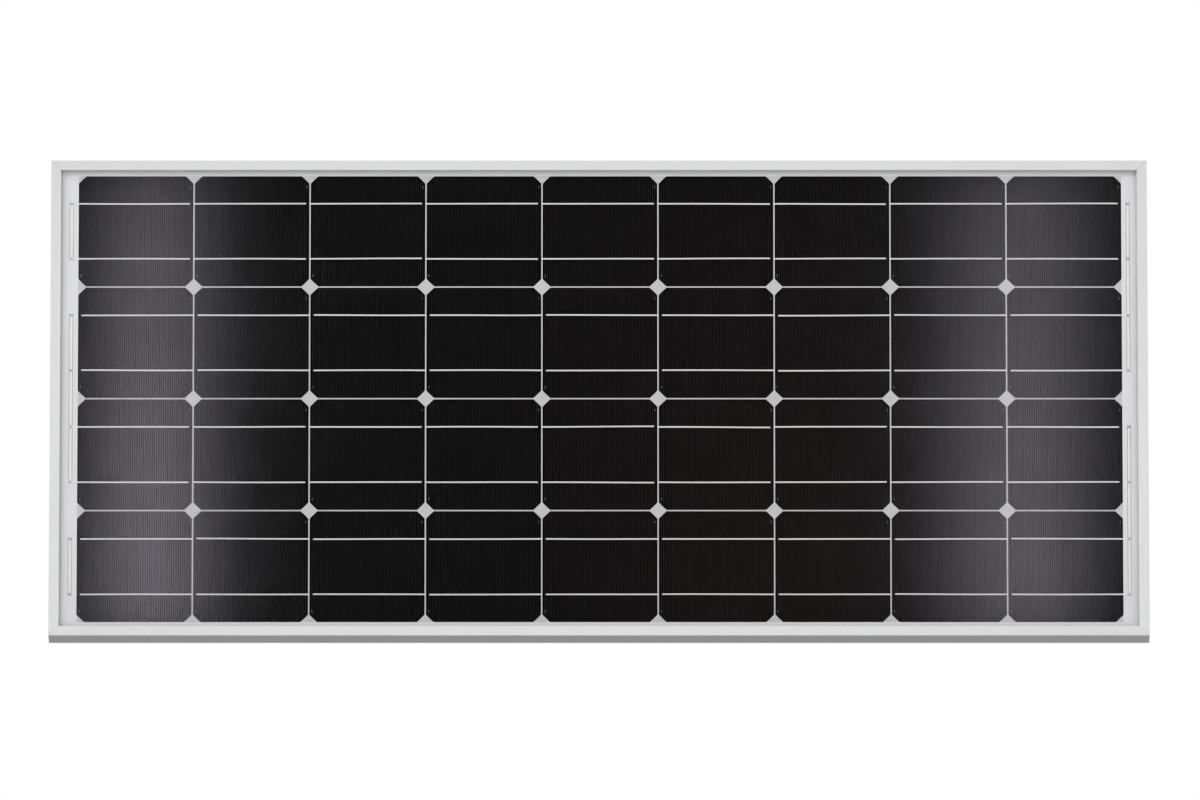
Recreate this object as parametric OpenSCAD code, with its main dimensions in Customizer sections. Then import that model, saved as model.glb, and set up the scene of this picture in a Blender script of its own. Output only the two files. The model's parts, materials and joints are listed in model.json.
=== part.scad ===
// Framed solar module with 36 cells, a junction box and two leads.
// It stands on a long edge with its sunny side facing -Y. X runs along the long rails and Z is up.
// The origin is the middle of the four mounting slots, on the rear mounting plane of the frame.

/* [Cells] */
// Side of a pseudo-square cell
cell_size = 125.5; // [122:0.5:126]
// Diameter of the ingot that the cells are cut from
ingot_d = 166; // [160:1:170]
// Gap between neighbouring cells
cell_gap = 1.5; // [1.5:0.5:3]
// Number of cells in a string
columns = 9; // [8:1:10]

/* [Margins] */
// From the left side of the frame to the cells
margin_left = 30.3; // [26:0.1:34]
// From the right side of the frame to the cells
margin_right = 28.2; // [25:0.1:34]
// From the top of the frame to the cells
margin_top = 16.6; // [15:0.1:26]
// From the bottom of the frame to the cells
margin_bottom = 16.9; // [15:0.1:26]

/* [Frame] */
// Depth of the frame, front to back
frame_depth = 30; // [30:1:40]
// Thickness of the outer wall of a rail
rail_wall = 1.5; // [1.2:0.1:2]
// Width of the lip in front of the glass
lip_w = 11; // [9.5:0.5:12]
// Width of the rear flange of a long rail
long_flange_w = 25; // [24:1:30]
// Width of the rear flange of a short rail
short_flange_w = 18; // [14:1:24]

/* [Mounting] */
// Distance between mounting slots along a long rail
slot_spacing = 800; // [600:10:860]
// Width of a mounting slot
slot_w = 9; // [7:0.5:10]
// Length of a mounting slot
slot_l = 14; // [11:0.5:16]
// Distance from the outside of the frame to the middle of the slots
slot_inset = 16; // [13:0.5:17]
// Distance between earthing holes along a long rail
earth_spacing = 560; // [300:10:580]
// Diameter of an earthing hole
earth_d = 4.2; // [3:0.1:6]

/* [Laminate] */
// Thickness of the front glass
glass_t = 3.2; // [2.8:0.1:3.4]
// Thickness of a cell
cell_t = 0.2; // [0.16:0.01:0.24]
// Thickness of the encapsulant in front of the cells
front_fill_t = 0.45; // [0.35:0.01:0.6]
// Thickness of the backsheet
backsheet_t = 0.3; // [0.2:0.01:0.4]
// Width of a tabbing ribbon
ribbon_w = 1.6; // [1.4:0.1:2.5]
// Width of a bus ribbon
bus_w = 4.6; // [4:0.1:6]

/* [Junction box] */
// Width of the box, along the long rails
box_w = 92; // [88:1:100]
// Height of the box, along the short rails
box_h = 108; // [104:1:120]
// From the left side of the frame to the middle of the box
box_inset = 92.5; // [84:0.5:110]

/* [Leads] */
// Diameter of the cable sheath
cable_d = 6; // [5:0.1:6.2]
// Diameter of the copper conductor
copper_d = 2.5; // [2:0.1:2.5]
// Bend radius of the cable
bend_r = 28; // [24:1:28]
// Straight run of the cable before its loop
cable_run = 386; // [340:1:420]

/* [Hidden] */
$fn = 96;
cut = 1;                   // how far a cutting shape reaches past the surface it opens

// Cell field
rows = 4;
cell_pitch = cell_size + cell_gap;
field_w = columns * cell_pitch - cell_gap;
field_h = rows * cell_pitch - cell_gap;
panel_w = margin_left + field_w + margin_right;
panel_h = margin_bottom + field_h + margin_top;
field_left = -panel_w / 2 + margin_left;
field_right = field_left + field_w;
field_top = panel_h / 2 - margin_top;
ribbon_offset = cell_size / 4;
ribbon_stop = 3.7;         // a ribbon ends this far before the far edge of its cell

// Frame section
lip_t = 1.8;
shelf_t = 1.6;
flange_t = 1.8;
edge_r = 1;                // soft outer front edge
tape_t = 0.5;
seal_w = lip_w - 1.2;
glass_inset = rail_wall + 1.5;
chamber_w = 11;
chamber_wall = 1.4;
chamber_depth = 15.6;
mitre_gap = 0.1;           // each rail stops this far before the mitre plane
key_leg = 42;
key_play = 0.1;
drain_d = 5;
drain_inset = 34;          // from the end of a short rail to its drain hole

// Layers, from the front of the frame to the back
glass_front_y = -frame_depth + lip_t + tape_t;
glass_back_y = glass_front_y + glass_t;
cell_front_y = glass_back_y + front_fill_t;
cell_back_y = cell_front_y + cell_t;
ribbon_t = 0.2;
insulation_t = 0.1;
lead_t = 0.2;
lead_cover_t = 0.1;
insulation_y = cell_back_y + ribbon_t;
lead_y = insulation_y + insulation_t;
backsheet_front_y = lead_y + lead_t + lead_cover_t;
backsheet_back_y = backsheet_front_y + backsheet_t;
shelf_front_y = backsheet_back_y + tape_t;
chamber_low = -shelf_front_y - chamber_depth;

// Bus and lead-out ribbons
bus_out_left = 7.6;        // from the cells to the middle of the bus
bus_out_right = 7;
bus_over = 2.4;            // a bus runs this far past its outermost ribbon
bus_left_x = field_left - bus_out_left;
bus_right_x = field_right + bus_out_right;
lead_w = 5;
label_w = 90;
label_h = 60;
label_t = 0.1;

// Junction box, measured from the backsheet
box_x = -panel_w / 2 + box_inset;
glue_t = 0.8;
box_floor = 2;
box_wall = 2.4;
box_corner_r = 5;
rim_y = 17;
gasket_t = 1;
gasket_w = 1.5;
lid_t = 2;
lid_y = rim_y + gasket_t;
skirt_play = 0.3;
skirt_t = 1.6;
skirt_y = rim_y - 2.5;
floor_y = glue_t + box_floor;
cable_y = 9.5;             // height of the cable axis over the backsheet
exit_z = 30;               // the cables leave the box this far from its middle
slit_x = -30;
slit_w = 3;
opening_x = [slit_x - 4, slit_x + 3];
opening_over = 6;
seat_w = 20;
seat_h = 12;
bead_inset = 0.5;
bead_w = 6.5;
panel_inset = 11;
panel_dip = 0.5;

// Lid hinge
hinge_z = box_h / 2 + 3.5;
hinge_y = rim_y - 3.5;
pin_r = 1.5;
pin_play = 0.06;
clip_r = 3.2;
clip_l = 8;
clip_mouth = 0.8;          // the clip is open beyond this far from its axis
clip_x = 26;
arm_t = 2;
arm_r = 2.6;
arm_play = 0.2;
hinge_span = clip_l + 2 * (arm_t + arm_play);
tab_w = 14;
tab_x = 24;
tab_y = rim_y - 8;
lug_t = 0.22;
lug_w = 8;
lug_y = [tab_y + 3, tab_y + 5];
window_w = 10;
window_y = [tab_y + 2, tab_y + 6];

// Terminals and diodes
plate_y = 5;
plate_t = 0.8;
plate_w = 16;
plate_front_x = -24;
plate_back_x = 20;
web_t = 3.2;
lead_tail = 8;
barrel_r = 2.4;
barrel_x = [14, 26];
diode_r = 4.4;
diode_l = 9;
diode_y = 9;
diode_x = 2;
diode_lead_r = 0.6;
diode_bend_r = 1.5;
diode_run = 2;              // straight lead before the bend

// Compression fittings, measured from the mouth of the spigot into the housing
spigot_r = 6.8;
spigot_l = 9;
spigot_bore_r = 5.2;
seat_s = 10;
nut_r = 8.4;
nut_play = 0.06;
nut_start_s = -9;
nut_end_s = 6.8;
nut_wall = 1.8;
ring_play = 0.1;
grip_count = 12;
grip_r = 1.2;
grip_out = 0.4;            // the middle of a grip groove lies this far outside the nut
grip_start = 2;
entry_play = 0.3;
slot_count = 6;
ring_slot_w = 1;
ring_collar = 2.5;         // whole part of a clamp ring before its slots
ring_start_s = nut_start_s + nut_wall + ring_play;
ring_end_s = 0.8;
seal_start_s = 1;
seal_end_s = seat_s - 0.1;

// Cable path
bar_swell = 0.02;
bar_lap = 0.05;
copper_play = 0.05;
cable_gap = 6.4;           // between the axes of the outgoing and returning cable
loop_turn = acos((bend_r + cable_gap / 2) / (2 * bend_r));
connector_gap = 14;        // between the axes of the connector and the outgoing cable
shift_turn = acos(1 - (connector_gap - cable_gap) / (2 * bend_r));
return_run = 245;
connector_run = 29;
sheath_start_x = box_w / 2 - 12;
cable_end_x = box_x + sheath_start_x + cable_run - return_run
    - 2 * bend_r * sin(shift_turn) - connector_run;
connector_x = cable_end_x + seat_s;
connector_z = exit_z + connector_gap;
tie_w = 4;
tie_t = 1.2;
tie_x = [60, 300];         // from the end of the sheath in the box
tie_play = 0.1;
tie_lock = 5;
tie_window = [1.2, 3];

// Connectors
collar_r = 8.4;
collar_s = 12;
body_r = 7.6;
contact_r = 2.2;
contact_bore_r = 2.45;
contact_start_s = 10.4;
plug_body_s = 30;
nose_r = 4.6;
front_s = 46;
socket_r = 5;
socket_s = 28;
copper_end_s = 19;
contact_collar = 2;
contact_end_gap = 1;
latch_w = 6;
latch_root = 4;            // the latch arms start this far back in the body of the plug
latch_t = 1.8;
latch_hook = 1;
latch_hook_l = 3;
latch_end = 2;             // the arms end this far before the mouth
ring_groove_s = 3;
ring_groove_w = 2;
ring_groove_t = 0.8;
catch_w = 6.4;
catch_s = [4, 9];          // a catch window, from the start of the socket's wide bore

// ---------- helpers ----------

function cell_x(column) = field_left + cell_size / 2 + column * cell_pitch;
function row_z(row) = field_top - cell_size / 2 - row * cell_pitch;

// A sheet that shows its outline in X and Z, from y_front back by thickness.
module sheet(y_front, thickness) {
    translate([0, y_front + thickness, 0])
        rotate([90, 0, 0])
            linear_extrude(thickness)
                children();
}

// A box between two corners.
module block(low, high) {
    translate(low)
        cube(high - low);
}

module centred_rect(w, h) {
    square([w, h], center = true);
}

module rounded_rect(w, h, r) {
    centred_rect(w - 2 * r, h);
    centred_rect(w, h - 2 * r);
    for (x = [-1, 1], y = [-1, 1])
        translate([x * (w / 2 - r), y * (h / 2 - r)])
            circle(r);
}

module slot_outline(length, width) {
    centred_rect(length - width, width);
    for (x = [-1, 1])
        translate([x * (length - width) / 2, 0])
            circle(d = width);
}

// A straight tube along +Z.
module tube(r_out, r_in, start, end) {
    difference() {
        translate([0, 0, start])
            cylinder(r = r_out, h = end - start);
        translate([0, 0, start - cut])
            cylinder(r = r_in, h = end - start + 2 * cut);
    }
}

// A round bar or tube that starts at the origin along +X and follows a list of steps.
// Each step is [length] for a straight or [turn, radius] for a bend in the XZ plane, up for a positive turn.
// Every second step is a hair thicker, so that its surface isn't tangent to its neighbours', and each step
// but the last runs a hair into the next.
module bent_bar(steps, r_out, r_in = 0, step = 0) {
    swell = step % 2 == 0 ? 0 : bar_swell;
    lap = step < len(steps) - 1 ? bar_lap : 0;
    if (step < len(steps)) {
        if (len(steps[step]) == 1) {
            rotate([0, 90, 0])
                linear_extrude(steps[step][0] + lap)
                    bar_section(r_out, r_in, swell);
            translate([steps[step][0], 0, 0])
                bent_bar(steps, r_out, r_in, step + 1);
        } else {
            side = sign(steps[step][0]);
            translate([0, 0, side * steps[step][1]]) {
                bend(abs(steps[step][0]), steps[step][1], side, lap)
                    bar_section(r_out, r_in, swell);
                rotate([0, -steps[step][0], 0])
                    translate([0, 0, -side * steps[step][1]])
                        bent_bar(steps, r_out, r_in, step + 1);
            }
        }
    }
}

module bar_section(r_out, r_in, swell) {
    difference() {
        circle(r_out + swell);
        if (r_in > 0)
            circle(r_in + swell);
    }
}

// An arc of a section about the origin in the XZ plane, lengthened by lap at its end.
// It starts below the centre for side 1 and above it for side -1.
module bend(turn, radius, side, lap) {
    angle = turn + lap / radius * 180 / PI;
    rotate([90, 0, 0])
        rotate([0, 0, side > 0 ? -90 : 90 - angle])
            rotate_extrude(angle = angle)
                translate([radius, 0])
                    children();
}

module at_box() {
    translate([box_x, backsheet_back_y, 0])
        children();
}

// Places for the compression fittings. Local +Z points into the housing, which is towards -X.
module at_gland(side) {
    translate([box_x + box_w / 2 + spigot_l, backsheet_back_y + cable_y, side * exit_z])
        rotate([0, -90, 0])
            children();
}

module at_connector(side) {
    translate([connector_x, backsheet_back_y + cable_y, side * connector_z])
        rotate([0, -90, 0])
            children();
}

// ---------- frame ----------

// Section of a rail: X is the distance inwards from the outside, Y the distance from the rear plane.
module rail_section(flange_w) {
    difference() {
        union() {
            square([rail_wall, frame_depth - edge_r]);
            square([flange_w, flange_t]);
            translate([edge_r, frame_depth - lip_t])
                square([lip_w - edge_r, lip_t]);
            intersection() {
                translate([edge_r, frame_depth - edge_r])
                    circle(edge_r);
                translate([0, frame_depth - edge_r])
                    square(edge_r);
            }
            translate([0, chamber_low])
                square([chamber_w, chamber_depth]);
        }
        translate([rail_wall, chamber_low + chamber_wall])
            square([chamber_w - rail_wall - chamber_wall, chamber_depth - shelf_t - chamber_wall]);
    }
}

// A mitred rail along X whose outer face is at z = -half_width. Children are cut out of it.
module rail(length, half_width, flange_w) {
    reach = flange_w + cut;
    trim = mitre_gap * sqrt(2);
    difference() {
        intersection() {
            translate([0, 0, -half_width])
                rotate(180, [1, 0, 1])
                    linear_extrude(length, center = true)
                        rail_section(flange_w);
            sheet(-frame_depth - cut, frame_depth + 2 * cut)
                translate([0, -half_width])
                    polygon([
                        [-length / 2 + trim - cut, -cut],
                        [length / 2 - trim + cut, -cut],
                        [length / 2 - trim - reach, reach],
                        [-length / 2 + trim + reach, reach]
                    ]);
        }
        children();
    }
}

module long_rail() {
    rail(panel_w, panel_h / 2, long_flange_w) {
        sheet(-flange_t - cut, flange_t + 2 * cut)
            for (x = [-1, 1]) {
                translate([x * slot_spacing / 2, -panel_h / 2 + slot_inset])
                    slot_outline(slot_l, slot_w);
                translate([x * earth_spacing / 2, -panel_h / 2 + slot_inset])
                    circle(d = earth_d);
            }
    }
}

module short_rail() {
    rail(panel_h, panel_w / 2, short_flange_w) {
        sheet(-flange_t - cut, flange_t + 2 * cut)
            for (x = [-1, 1])
                translate([x * (panel_h / 2 - drain_inset), -panel_w / 2 + short_flange_w / 2 + 1])
                    circle(d = drain_d);
    }
}

module frame_rail_top() {
    color("silver")
        rotate([0, 180, 0])
            long_rail();
}

module frame_rail_bottom() {
    color("silver")
        long_rail();
}

module frame_rail_left() {
    color("silver")
        rotate([0, 90, 0])
            short_rail();
}

module frame_rail_right() {
    color("silver")
        rotate([0, -90, 0])
            short_rail();
}

// L-shaped keys that fill the hollow chambers at the four corners.
module corner_keys() {
    leg_w = chamber_w - rail_wall - chamber_wall - 2 * key_play;
    key_depth = chamber_depth - shelf_t - chamber_wall - 2 * key_play;
    key_out = rail_wall + key_play;
    color("darkgray")
        for (x = [0, 1], z = [0, 1])
            mirror([x, 0, 0])
                mirror([0, 0, z])
                    sheet(shelf_front_y + shelf_t + key_play, key_depth)
                        translate([-panel_w / 2 + key_out, -panel_h / 2 + key_out]) {
                            square([key_leg, leg_w]);
                            square([leg_w, key_leg]);
                        }
}

module edge_seal() {
    color("dimgray")
        difference() {
            sheet(-frame_depth + lip_t, shelf_front_y + frame_depth - lip_t)
                difference() {
                    centred_rect(panel_w - 2 * rail_wall, panel_h - 2 * rail_wall);
                    centred_rect(panel_w - 2 * seal_w, panel_h - 2 * seal_w);
                }
            sheet(glass_front_y, backsheet_back_y - glass_front_y)
                laminate_outline();
        }
}

// ---------- laminate ----------

module laminate_outline() {
    centred_rect(panel_w - 2 * glass_inset, panel_h - 2 * glass_inset);
}

module cell_outline() {
    intersection() {
        centred_rect(cell_size, cell_size);
        circle(d = ingot_d);
    }
}

module cell_string(row) {
    sheet(cell_front_y, cell_t)
        for (column = [0 : columns - 1])
            translate([cell_x(column), row_z(row)])
                cell_outline();
}

// A strip of ribbon along X from x_start to x_end, centred on z = 0.
module strip(x_start, x_end, y_front, thickness, width) {
    block([x_start, y_front, -width / 2], [x_end, y_front + thickness, width / 2]);
}

// One line of ribbon along a string that enters at its left end, with x = 0 at the first cell's edge.
// Each link passes from the back of one cell, through the gap, to the front of the next.
module ribbon_line(entry_reach, exit_reach) {
    front_y = cell_front_y - ribbon_t;
    strip(-entry_reach, cell_size - ribbon_stop, front_y, ribbon_t, ribbon_w);
    for (link = [1 : columns - 1]) {
        gap_x = link * cell_pitch - cell_gap / 2;
        strip(gap_x, link * cell_pitch + cell_size - ribbon_stop, front_y, ribbon_t, ribbon_w);
        strip(gap_x - ribbon_t, gap_x + ribbon_t, front_y, cell_t + 2 * ribbon_t, ribbon_w);
        strip(gap_x - cell_pitch + cell_gap / 2 + ribbon_stop, gap_x, cell_back_y, ribbon_t, ribbon_w);
    }
    strip((columns - 1) * cell_pitch + ribbon_stop, field_w + exit_reach, cell_back_y, ribbon_t, ribbon_w);
}

// The two ribbon lines of a string. Odd rows run the other way, so that the strings join in series.
module tabbing_ribbons(row) {
    left_reach = bus_out_left + bus_w / 2;
    right_reach = bus_out_right + bus_w / 2;
    for (side = [-1, 1])
        translate([0, 0, row_z(row) + side * ribbon_offset])
            if (row % 2 == 0)
                translate([field_left, 0, 0])
                    ribbon_line(left_reach, right_reach);
            else
                translate([field_right, 0, 0])
                    mirror([1, 0, 0])
                        ribbon_line(right_reach, left_reach);
}

// A bus that joins the outer ribbons of its first and last row.
module bus(x, first_row, last_row) {
    block(
        [x - bus_w / 2, cell_front_y, row_z(last_row) - ribbon_offset - bus_over],
        [x + bus_w / 2, cell_back_y, row_z(first_row) + ribbon_offset + bus_over]
    );
}

module left_buses() {
    bus(bus_left_x, 0, 0);
    bus(bus_left_x, 1, rows - 2);
    bus(bus_left_x, rows - 1, rows - 1);
}

module right_buses() {
    for (row = [0 : 2 : rows - 2])
        bus(bus_right_x, row, row + 1);
}

// Height at which a lead leaves its bus: side 1 for the top string, -1 for the bottom one, 0 for the middle.
function lead_start_z(side) = side == 0 ? 0
    : side > 0 ? row_z(0) - ribbon_offset / 2
    : row_z(rows - 1) + ribbon_offset / 2;

// The flat path of a lead behind the cells, from its bus to its slit in the backsheet.
module lead_path(side, y_front, thickness, width, bus_end_x) {
    start_z = lead_start_z(side);
    end_z = side * exit_z;
    half = width / 2;
    block([bus_end_x, y_front, start_z - half], [box_x + slit_x + half, y_front + thickness, start_z + half]);
    block(
        [box_x + slit_x - half, y_front, min(start_z, end_z) - half],
        [box_x + slit_x + half, y_front + thickness, max(start_z, end_z) + half]
    );
}

// A lead: a foot on the bus, the flat path, a riser through the backsheet and a tail on its terminal.
module lead(side) {
    top_y = backsheet_back_y + plate_y + plate_t + lead_t;
    end_z = side * exit_z;
    start_z = lead_start_z(side);
    half = lead_w / 2;
    lead_path(side, lead_y, lead_t, lead_w, bus_left_x - bus_w / 2);
    block(
        [bus_left_x - bus_w / 2, cell_back_y, start_z - half],
        [bus_left_x + bus_w / 2, lead_y + lead_t, start_z + half]
    );
    block(
        [box_x + slit_x - lead_t, lead_y, end_z - half],
        [box_x + slit_x, top_y, end_z + half]
    );
    block(
        [box_x + slit_x - lead_t, top_y - lead_t, end_z - half],
        [box_x + plate_front_x + lead_tail, top_y, end_z + half]
    );
}

module leads() {
    for (side = [-1, 0, 1])
        lead(side);
}

// Insulation between the leads and the backs of the cells.
module insulation() {
    for (side = [-1, 0, 1])
        lead_path(side, insulation_y, insulation_t, lead_w + 3, field_left - 1);
}

module front_glass() {
    color("aliceblue", 0.3)
        sheet(glass_front_y, glass_t)
            laminate_outline();
}

module front_encapsulant() {
    color("white", 0.3)
        difference() {
            sheet(glass_back_y, front_fill_t)
                laminate_outline();
            for (row = [0 : rows - 1])
                tabbing_ribbons(row);
        }
}

module cell_string_1() {
    color([0.08, 0.07, 0.09])
        cell_string(0);
}

module cell_string_2() {
    color([0.08, 0.07, 0.09])
        cell_string(1);
}

module cell_string_3() {
    color([0.08, 0.07, 0.09])
        cell_string(2);
}

module cell_string_4() {
    color([0.08, 0.07, 0.09])
        cell_string(3);
}

module tabbing_ribbons_1() {
    color("gainsboro")
        tabbing_ribbons(0);
}

module tabbing_ribbons_2() {
    color("gainsboro")
        tabbing_ribbons(1);
}

module tabbing_ribbons_3() {
    color("gainsboro")
        tabbing_ribbons(2);
}

module tabbing_ribbons_4() {
    color("gainsboro")
        tabbing_ribbons(3);
}

module bus_ribbons_left() {
    color("gainsboro")
        left_buses();
}

module bus_ribbons_right() {
    color("gainsboro")
        right_buses();
}

module lead_out_ribbons() {
    color("gainsboro")
        leads();
}

module lead_out_insulation() {
    color("ivory")
        insulation();
}

// The rear filling flows round the cells and the ribbons behind them.
module rear_encapsulant() {
    color("whitesmoke")
        difference() {
            sheet(cell_front_y, backsheet_front_y - cell_front_y)
                laminate_outline();
            for (row = [0 : rows - 1]) {
                cell_string(row);
                tabbing_ribbons(row);
            }
            left_buses();
            right_buses();
            insulation();
            leads();
        }
}

module backsheet() {
    color("white")
        sheet(backsheet_front_y, backsheet_t)
            difference() {
                laminate_outline();
                for (side = [-1, 0, 1])
                    translate([box_x + slit_x, side * exit_z])
                        centred_rect(slit_w, lead_w + 2);
            }
}

module rating_label() {
    color("lightgray")
        sheet(backsheet_back_y, label_t)
            translate([panel_w / 4, panel_h / 4])
                rounded_rect(label_w, label_h, 3);
}

// ---------- junction box ----------

// A C-shaped clip on the top of the base that holds one lid pin, centred on x = 0.
module hinge_clip() {
    difference() {
        union() {
            translate([-clip_l / 2, hinge_y, hinge_z])
                rotate([0, 90, 0])
                    cylinder(r = clip_r, h = clip_l);
            block([-clip_l / 2, hinge_y - clip_r, box_h / 2 - 1], [clip_l / 2, hinge_y, hinge_z - pin_r]);
        }
        translate([-clip_l / 2 - cut, hinge_y, hinge_z])
            rotate([0, 90, 0])
                cylinder(r = pin_r + pin_play, h = clip_l + 2 * cut);
        block(
            [-clip_l / 2 - cut, hinge_y - clip_r - cut, hinge_z + clip_mouth],
            [clip_l / 2 + cut, hinge_y + clip_r + cut, hinge_z + clip_r + cut]
        );
    }
}

module box_base() {
    color([0.1, 0.1, 0.1])
        at_box()
            difference() {
                union() {
                    sheet(glue_t, rim_y - glue_t)
                        rounded_rect(box_w, box_h, box_corner_r);
                    for (side = [-1, 1]) {
                        translate([box_w / 2 - 1, cable_y, side * exit_z])
                            rotate([0, 90, 0])
                                cylinder(r = spigot_r, h = spigot_l + 1);
                        translate([side * clip_x, 0, 0])
                            hinge_clip();
                        translate([side * tab_x, 0, 0])
                            block(
                                [-lug_w / 2, lug_y[0], -box_h / 2 - lug_t],
                                [lug_w / 2, lug_y[1], -box_h / 2 + 1]
                            );
                    }
                }
                difference() {
                    sheet(floor_y, rim_y)
                        rounded_rect(box_w - 2 * box_wall, box_h - 2 * box_wall, box_corner_r - box_wall);
                    terminal_seats();
                }
                block(
                    [opening_x[0], 0, -exit_z - opening_over],
                    [opening_x[1], floor_y + cut, exit_z + opening_over]
                );
                for (side = [-1, 1]) {
                    translate([box_w / 2 + spigot_l - seat_s, cable_y, side * exit_z])
                        rotate([0, 90, 0])
                            cylinder(r = spigot_bore_r, h = seat_s + cut);
                    translate([box_w / 2 - box_wall - cut, cable_y, side * exit_z])
                        rotate([0, 90, 0])
                            cylinder(r = cable_d / 2 + ring_play, h = box_wall + 2 * cut);
                }
            }
}

// Blocks on the floor of the box that carry the terminal plates.
module terminal_seats() {
    for (side = [-1, 0, 1])
        block(
            [-seat_w / 2, floor_y - cut, side * exit_z - seat_h / 2],
            [seat_w / 2, plate_y, side * exit_z + seat_h / 2]
        );
}

module box_adhesive() {
    color("gray")
        at_box()
            sheet(0, glue_t)
                difference() {
                    rounded_rect(box_w - 2 * bead_inset, box_h - 2 * bead_inset, box_corner_r);
                    rounded_rect(
                        box_w - 2 * (bead_inset + bead_w),
                        box_h - 2 * (bead_inset + bead_w),
                        box_corner_r
                    );
                }
}

module box_gasket() {
    inset = (box_wall - gasket_w) / 2;
    color("black")
        at_box()
            sheet(rim_y, gasket_t)
                difference() {
                    rounded_rect(box_w - 2 * inset, box_h - 2 * inset, box_corner_r - inset);
                    rounded_rect(
                        box_w - 2 * (inset + gasket_w),
                        box_h - 2 * (inset + gasket_w),
                        box_corner_r - inset - gasket_w
                    );
                }
}

// The two arms of the lid and the pin between them, which turns in one clip of the base.
module hinge_arms() {
    for (side = [-1, 1])
        translate([side * (clip_l / 2 + arm_play + arm_t / 2) - arm_t / 2, 0, 0]) {
            translate([0, hinge_y, hinge_z])
                rotate([0, 90, 0])
                    cylinder(r = arm_r, h = arm_t);
            block([0, hinge_y, hinge_z - arm_r], [arm_t, lid_y + lid_t / 2, hinge_z + arm_r]);
        }
    translate([-hinge_span / 2, hinge_y, hinge_z])
        rotate([0, 90, 0])
            cylinder(r = pin_r, h = hinge_span);
    block([-hinge_span / 2, lid_y, box_h / 2 - 4], [hinge_span / 2, lid_y + lid_t, hinge_z + arm_r]);
}

module box_lid() {
    skirt_in = 2 * skirt_play;
    skirt_out = 2 * (skirt_play + skirt_t);
    color([0.1, 0.1, 0.1])
        at_box() {
            difference() {
                union() {
                    sheet(skirt_y, lid_y + lid_t - skirt_y)
                        rounded_rect(box_w + skirt_out, box_h + skirt_out, box_corner_r + skirt_out / 2);
                    for (side = [-1, 1])
                        block(
                            [side * tab_x - tab_w / 2, tab_y, -box_h / 2 - skirt_out / 2],
                            [side * tab_x + tab_w / 2, skirt_y + cut, -box_h / 2 - skirt_in / 2]
                        );
                }
                sheet(skirt_y - cut, lid_y - skirt_y + cut)
                    rounded_rect(box_w + skirt_in, box_h + skirt_in, box_corner_r + skirt_in / 2);
                for (side = [-1, 1]) {
                    // room for a clip under the lid, and the window of a snap tab
                    block(
                        [side * clip_x - hinge_span / 2, skirt_y - cut, box_h / 2 - 1],
                        [side * clip_x + hinge_span / 2, lid_y, hinge_z + arm_r]
                    );
                    block(
                        [side * tab_x - window_w / 2, window_y[0], -box_h / 2 - skirt_out / 2 - cut],
                        [side * tab_x + window_w / 2, window_y[1], -box_h / 2]
                    );
                    // room for the gland spigots
                    block(
                        [box_w / 2 - 1, skirt_y - cut, side * exit_z - nut_r],
                        [box_w / 2 + skirt_out, lid_y, side * exit_z + nut_r]
                    );
                }
                // shallow panel in the outside of the lid
                sheet(lid_y + lid_t - panel_dip, lid_t)
                    rounded_rect(box_w - 2 * panel_inset, box_h - 2 * panel_inset, box_corner_r);
            }
            for (side = [-1, 1])
                translate([side * clip_x, 0, 0])
                    hinge_arms();
        }
}

module terminal_plate(side) {
    block(
        [plate_front_x, plate_y, side * exit_z - plate_w / 2],
        [plate_back_x, plate_y + plate_t, side * exit_z + plate_w / 2]
    );
}

// An outer terminal: a plate with a raised barrel that is crimped on the conductor.
module crimp_terminal(side) {
    at_box()
        difference() {
            union() {
                terminal_plate(side);
                block(
                    [barrel_x[0], plate_y, side * exit_z - web_t / 2],
                    [plate_back_x, cable_y, side * exit_z + web_t / 2]
                );
                translate([barrel_x[0], cable_y, side * exit_z])
                    rotate([0, 90, 0])
                        cylinder(r = barrel_r, h = barrel_x[1] - barrel_x[0]);
            }
            translate([barrel_x[0] - cut, cable_y, side * exit_z])
                rotate([0, 90, 0])
                    cylinder(d = copper_d + 2 * copper_play, h = barrel_x[1] - barrel_x[0] + 2 * cut);
        }
}

module terminal_negative() {
    color("goldenrod")
        crimp_terminal(-1);
}

module terminal_middle() {
    color("goldenrod")
        at_box()
            terminal_plate(0);
}

module terminal_positive() {
    color("goldenrod")
        crimp_terminal(1);
}

// Bands that press each lead on its terminal plate.
module ribbon_clips() {
    play = 0.05;
    band_t = 0.6;
    band_w = 6;
    low_y = plate_y - play;
    high_y = plate_y + plate_t + lead_t + play;
    half = plate_w / 2 + play;
    color("lightsteelblue")
        at_box()
            for (side = [-1, 0, 1])
                translate([0, 0, side * exit_z])
                    difference() {
                        block(
                            [plate_front_x + 1, low_y - band_t, -half - band_t],
                            [plate_front_x + 1 + band_w, high_y + band_t, half + band_t]
                        );
                        block([plate_front_x, low_y, -half], [plate_front_x + 2 + band_w, high_y, half]);
                    }
}

// A diode between two plates, with its leads bent down to them.
module diode() {
    drop = diode_y - diode_bend_r - plate_y - plate_t;
    translate([diode_x, diode_y, 0]) {
        translate([0, 0, -diode_l / 2])
            cylinder(r = diode_r, h = diode_l);
        for (side = [0, 1])
            mirror([0, 0, side])
                translate([0, 0, diode_l / 2])
                    rotate([0, -90, -90])
                        bent_bar([[diode_run], [-90, diode_bend_r], [drop]], diode_lead_r);
    }
}

module bypass_diodes() {
    color([0.15, 0.15, 0.15])
        at_box()
            for (side = [-1, 1])
                translate([0, 0, side * exit_z / 2])
                    diode();
}

// ---------- compression fittings ----------

module cable_seal() {
    tube(spigot_bore_r - ring_play / 2, cable_d / 2 + ring_play / 2, seal_start_s, seal_end_s);
}

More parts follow.
